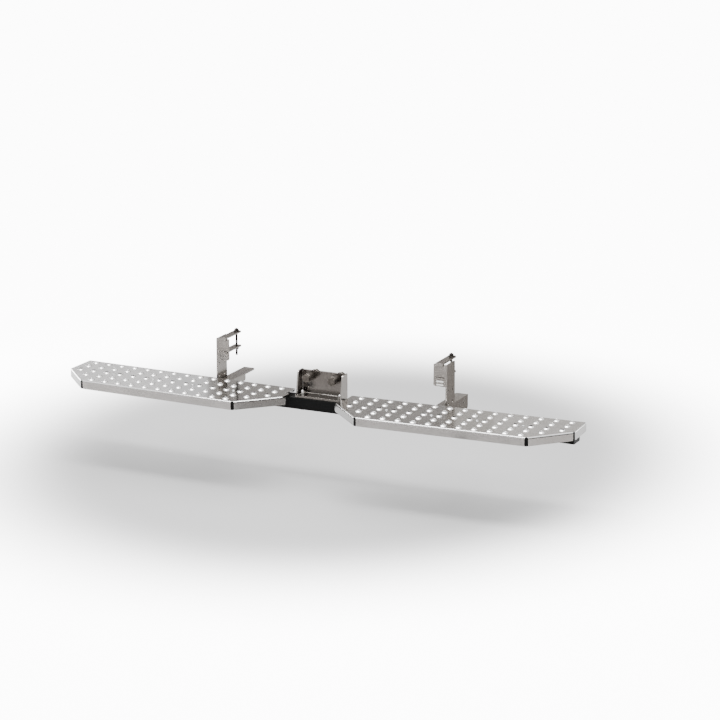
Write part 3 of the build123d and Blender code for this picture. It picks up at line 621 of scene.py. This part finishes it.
# Tread screws: M6 button heads with a hexagon socket, 4 mm across its flats, in every third gap
# of the middle row, and their nuts inside the rail.
screw_xs = [125.0, 275.0, 425.0, 575.0]
screw_sides = 24
m6_nut_place = -9.5
head_radius = 5.0
head_side = 0.35
head_dome = 2.45
head_angles = np.radians([0, 18, 36, 54, 70])
head_levels = [(head_radius * math.cos(a) ** 0.6,
                head_side + head_dome * math.sin(a) / math.sin(head_angles[-1]))
               for a in head_angles]
socket = hexagon(2.0, screw_sides)
button = [(1.9, -9.5), (2.5, -8.9)] + thread(3.0, 1.0, -8.8, -4.0, screw_sides)
button += [(3.0, -3.6), (3.0, 0.0), (head_radius, 0.0)] + head_levels
button += [(2.45, 2.8), (socket, 2.55), (socket, 0.9)]
button_screw = skin(lathe(button, screw_sides))
m6_nut = nut(radius=3.15, flats=10.0, height=5.0)
screws = []
nuts = []
for side in (-1, 1):
    for x in screw_xs:
        screws.append(stood(button_screw, on_tread(x, middle_row, 0, side)))
        nuts.append(stood(m6_nut, on_tread(x, middle_row, m6_nut_place, side)))
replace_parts(piece("tread_screw_detail", joined(screws), zinc_plate), "tread_screws")
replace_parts(piece("tread_nut_detail", joined(nuts), zinc_plate, 25.0), "tread_nuts")

# Centre bracket: brushed stainless plate, darker and warmer than the treads because it faces the
# shade under the vehicle, with small weld beads where gussets, foot and back plate meet.
bracket_steel = steel("brushed_stainless_bracket_plate", linear("#BDB8B3"), linear("#9A9590"),
                      smooth=0.12, rough=0.24, stretch=(500.0, 500.0, 22.0), edge=0.0008)
# Painted shade: the faces between the gussets, |x| < 75 mm, are painted darker than the outside
tree = bracket_steel.node_tree
shader = tree.nodes["Principled BSDF"]
clean = shader.inputs["Base Color"].links[0].from_socket
across = node(tree, "ShaderNodeSeparateXYZ", {
    "Vector": node(tree, "ShaderNodeTexCoord").outputs["Object"]})
distance = node(tree, "ShaderNodeMath", {0: across.outputs["X"]}, operation="ABSOLUTE")
inside = node(tree, "ShaderNodeMapRange", {
    "Value": distance.outputs[0], "From Min": 0.0752, "From Max": 0.0765, "To Min": 0.6,
    "To Max": 0.0})
painted_inner_shade = node(tree, "ShaderNodeMix", {
    "Factor": inside.outputs[0], "A": clean, "B": linear("#3E3935")}, data_type="RGBA")
tree.links.new(painted_inner_shade.outputs["Result"], shader.inputs["Base Color"])
nodes["centre_bracket"].material_slots[0].material = bracket_steel
weld_metal, tree = new_material("stainless_weld_metal")
place = node(tree, "ShaderNodeTexCoord").outputs["Object"]
# Brushed clean again, with a cloud of grey heat marks about 8 mm apart
tint = node(tree, "ShaderNodeTexNoise", {"Vector": place, "Scale": 120.0, "Detail": 3.0})
colour = node(tree, "ShaderNodeMix", {
    "Factor": tint.outputs[0], "A": linear("#B4B1AD"), "B": linear("#8C8883")}, data_type="RGBA")
shader = node(tree, "ShaderNodeBsdfPrincipled", {
    "Base Color": colour.outputs["Result"], "Metallic": 1.0, "Roughness": 0.3})
node(tree, "ShaderNodeOutputMaterial", {"Surface": shader.outputs[0]})
foot_top = -57.5
gusset_face = 75.0
back_plate_face = -6.0
bracket_bead = 1.6
upright_bead_top = 16.0
foot_bead_rear = -44.0
foot_bead_front = -7.0
cross_bead_end = 73.0
beads = []
for side in (-1, 1):
    wall = side * gusset_face
    beads.append(bead((wall, back_plate_face, foot_top + 1),
                      (wall, back_plate_face, upright_bead_top), bracket_bead))
    beads.append(bead((wall, foot_bead_rear, foot_top), (wall, foot_bead_front, foot_top),
                      bracket_bead))
beads.append(bead((-cross_bead_end, back_plate_face, foot_top),
                  (cross_bead_end, back_plate_face, foot_top), bracket_bead))
piece("bracket_welds", joined(beads), weld_metal)

# Flange fasteners: two M16 bolts with spacer sleeves, washers and nuts for the tow bar's flange,
# in a dark smoky zinc that nearly vanishes against the shaded back plate.
dark_zinc, tree = new_material("black_passivated_zinc")
place = node(tree, "ShaderNodeTexCoord").outputs["Object"]
mottle = node(tree, "ShaderNodeTexNoise", {"Vector": place, "Scale": 160.0, "Detail": 4.0})
colour = node(tree, "ShaderNodeMix", {
    "Factor": mottle.outputs[0], "A": linear("#45413D"), "B": linear("#77716B")},
    data_type="RGBA")
rough = node(tree, "ShaderNodeMapRange", {
    "Value": mottle.outputs[0], "To Min": 0.22, "To Max": 0.4})
rounded = node(tree, "ShaderNodeBevel", {"Radius": 0.0004}, samples=4)
shader = node(tree, "ShaderNodeBsdfPrincipled", {
    "Base Color": colour.outputs["Result"], "Metallic": 1.0, "Roughness": rough.outputs[0],
    "Normal": rounded.outputs[0]})
node(tree, "ShaderNodeOutputMaterial", {"Surface": shader.outputs[0]})
flange_xs = (-45.0, 45.0)
forward = (0, 1, 0)
sleeve_rear = -38.0
washer_rear = 20.0
nut_rear = 23.0
m16_bolt = bolt(radius=8.0, flats=24.0, head=10.0, length=80.0, pitch=2.0, threaded=38.0,
                around=48)
m16_nut = nut(radius=8.15, flats=24.0, height=13.0, around=48)
sleeve = ring(outer=13.5, bore=8.5, height=32.0, edge=0.6, around=48)
wide_washer = ring(outer=15.0, bore=8.2, height=3.0, edge=0.5, around=48)
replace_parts(piece("flange_bolt_detail", joined([stood(m16_bolt, (x, sleeve_rear, 0), forward)
            for x in flange_xs]), dark_zinc, 25.0), "flange_bolts")
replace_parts(piece("flange_sleeve_detail", joined([stood(sleeve, (x, sleeve_rear, 0), forward)
            for x in flange_xs]), dark_zinc), "flange_sleeves")
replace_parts(piece("flange_washer_detail", joined([stood(wide_washer, (x, washer_rear, 0), forward)
            for x in flange_xs]), dark_zinc), "flange_washers")
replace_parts(piece("flange_nut_detail", joined([stood(m16_nut, (x, nut_rear, 0), forward)
            for x in flange_xs]), dark_zinc, 25.0), "flange_nuts")

# Cap nuts: polished stainless, so they flash at the corners of the foot, and the M8 screws that
# come up to them through the beam.
polished, tree = new_material("polished_stainless_cap_nut")
place = node(tree, "ShaderNodeTexCoord").outputs["Object"]
haze = node(tree, "ShaderNodeTexNoise", {"Vector": place, "Scale": 400.0, "Detail": 3.0})
rough = node(tree, "ShaderNodeMapRange", {
    "Value": haze.outputs[0], "To Min": 0.04, "To Max": 0.14})
shader = node(tree, "ShaderNodeBsdfPrincipled", {
    "Base Color": linear("#DAD8D4"), "Metallic": 1.0, "Roughness": rough.outputs[0]})
node(tree, "ShaderNodeOutputMaterial", {"Surface": shader.outputs[0]})
m8_radius = 4.0
m8_flats = 13.0
m8_head = 5.5
m8_pitch = 1.25
dome_radius = m8_flats / 2
dome_foot = 8.0
cap_nut_sides = 36
m8_hexa = hexagon(m8_flats / 2, cap_nut_sides)
m8_chamfer = (m8_hexa - 6.2) * math.tan(math.radians(30))
dome = [(dome_radius * math.cos(a), dome_foot + dome_radius * math.sin(a))
        for a in np.radians(range(0, 88, 11))]
# The hexagon is cut back by 30 degree cones, at its foot and round the dome, where tan is 0.58
cap_levels = [(4.2, 7.8), (4.2, 0.0), (6.2, 0.0), (m8_hexa, m8_chamfer),
              (m8_hexa, dome_foot - (m8_hexa - dome_radius) * 0.58)] + dome
cap_nut = skin(lathe(cap_levels, cap_nut_sides))
cap_nut_xs = (-66.0, 66.0)
cap_nut_y = -27.0


def m8_bolt(length, threaded):
    """M8 hexagon bolt with a shank of that length, threaded over its last millimetres."""
    return bolt(m8_radius, m8_flats, m8_head, length, m8_pitch, threaded)


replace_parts(piece("cap_nut_detail", joined([stood(cap_nut, (x, cap_nut_y, foot_top))
            for x in cap_nut_xs]), polished, 25.0), "bracket_cap_nuts")
bracket_screw = m8_bolt(length=53.8, threaded=22.0)
beam_bottom = -103.5
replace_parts(piece("bracket_screw_detail", joined([stood(bracket_screw, (x, cap_nut_y, beam_bottom))
            for x in cap_nut_xs]), zinc_plate, 25.0), "bracket_screws")

# Frame fasteners: M8 bolts up through the beam into the first and fourth rib of each frame, and
# their nuts inside those ribs.
frame_bolt = m8_bolt(length=53.5, threaded=22.0)
m8_nut = nut(radius=4.15, flats=m8_flats, height=6.5)
frame_nut_foot = -59.0
half_beam = 25.0
bolts = []
nuts = []
for side in (-1, 1):
    for rib in (rib_centres[0], rib_centres[-2]):
        row = (tread_setback - half_beam - rib * math.sin(tread_turn)) / math.cos(tread_turn)
        x, y, z = on_tread(rib, row, 0, side)
        bolts.append(stood(frame_bolt, (x, y, beam_bottom)))
        nuts.append(stood(m8_nut, (x, y, frame_nut_foot)))
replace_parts(piece("frame_bolt_detail", joined(bolts), zinc_plate, 25.0),
            "frame_bolts")
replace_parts(piece("frame_nut_detail", joined(nuts), zinc_plate, 25.0), "frame_nuts")

# Support arms: folded angles in a brushed plate without the bracket's painted shade, and the
# bolts that hold their end tabs to the beam.
plate_steel = steel("brushed_stainless_plate", linear("#B5B0AB"), linear("#938E89"),
                    smooth=0.14, rough=0.26, stretch=(500.0, 500.0, 22.0), edge=0.0008)
for name in ("right_arm", "left_arm"):
    nodes[name].material_slots[0].material = plate_steel
tab_bolt = m8_bolt(length=14.5, threaded=11.0)
tab_bolt_xs = (-390.0, -370.0, 370.0, 390.0)
tab_bolt_y = 5.0
tab_nut_y = -9.5
tab_bolt_z = -86.75
bolts = []
nuts = []
for x in tab_bolt_xs:
    bolts.append(stood(tab_bolt, (x, tab_bolt_y, tab_bolt_z), (0, -1, 0)))
    nuts.append(stood(m8_nut, (x, tab_nut_y, tab_bolt_z), forward))
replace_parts(piece("arm_bolt_detail", joined(bolts), zinc_plate, 25.0), "arm_bolts")
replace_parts(piece("arm_nut_detail", joined(nuts), zinc_plate, 25.0), "arm_nuts")

# Hangers: unequal angles in brushed plate, bolted through the slots of the arms, with the heads
# outside and the nuts on the inner side of the arm.
for name in ("right_hanger", "left_hanger"):
    nodes[name].material_slots[0].material = plate_steel
hanger_bolt = m8_bolt(length=20.5, threaded=14.0)
hanger_bolt_ys = (45.5, 81.5)
hanger_face = 408.0
arm_inner_face = 398.0
slot_z = -80.0
bolts = []
nuts = []
for side in (-1, 1):
    inward = (-side, 0, 0)
    for y in hanger_bolt_ys:
        bolts.append(stood(hanger_bolt, (side * hanger_face, y, slot_z), inward))
        nuts.append(stood(m8_nut, (side * arm_inner_face, y, slot_z), inward))
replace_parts(piece("hanger_bolt_detail", joined(bolts), zinc_plate, 25.0),
            "hanger_bolts")
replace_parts(piece("hanger_nut_detail", joined(nuts), zinc_plate, 25.0),
            "hanger_nuts")

# Clamps: plate straps over and under the tow bar's tube, drawn together by a threaded stud with
# washers and nuts in oiled black oxide, a thin dark brown-black coat that keeps a metal sheen.
for name in ("right_top_strap", "left_top_strap", "right_bottom_strap", "left_bottom_strap"):
    nodes[name].material_slots[0].material = plate_steel
black_oxide, tree = new_material("oiled_black_oxide_steel")
place = node(tree, "ShaderNodeTexCoord").outputs["Object"]
blotch = node(tree, "ShaderNodeTexNoise", {"Vector": place, "Scale": 300.0, "Detail": 4.0})
colour = node(tree, "ShaderNodeMix", {
    "Factor": blotch.outputs[0], "A": linear("#2A2826"), "B": linear("#4A4642")},
    data_type="RGBA")
rough = node(tree, "ShaderNodeMapRange", {
    "Value": blotch.outputs[0], "To Min": 0.25, "To Max": 0.45})
shader = node(tree, "ShaderNodeBsdfPrincipled", {
    "Base Color": colour.outputs["Result"], "Metallic": 1.0, "Roughness": rough.outputs[0]})
node(tree, "ShaderNodeOutputMaterial", {"Surface": shader.outputs[0]})
stud_xs = (-382.5, 382.5)
stud_y = 128.0
stud_foot = -0.6
stud_length = 91.2
stud_sides = 24
stud_levels = [(3.1, 0.0), (3.3, 0.5)]
stud_levels += thread(m8_radius, m8_pitch, 0.6, stud_length - 0.7, stud_sides)
stud_levels += [(3.3, stud_length - 0.5), (3.1, stud_length)]
stud = skin(lathe(stud_levels, stud_sides))
clamp_washer = ring(outer=11.0, bore=4.2, height=1.6, edge=0.25)
washer_feet = (25.9, 80.0)
nut_feet = (19.4, 81.6)
studs = []
washers = []
nuts = []
for x in stud_xs:
    studs.append(stood(stud, (x, stud_y, stud_foot)))
    washers += [stood(clamp_washer, (x, stud_y, z)) for z in washer_feet]
    nuts += [stood(m8_nut, (x, stud_y, z)) for z in nut_feet]
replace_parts(piece("clamp_stud_detail", joined(studs), black_oxide), "clamp_studs")
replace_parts(piece("clamp_washer_detail", joined(washers), black_oxide),
            "clamp_washers")
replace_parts(piece("clamp_nut_detail", joined(nuts), black_oxide, 25.0),
            "clamp_nuts")
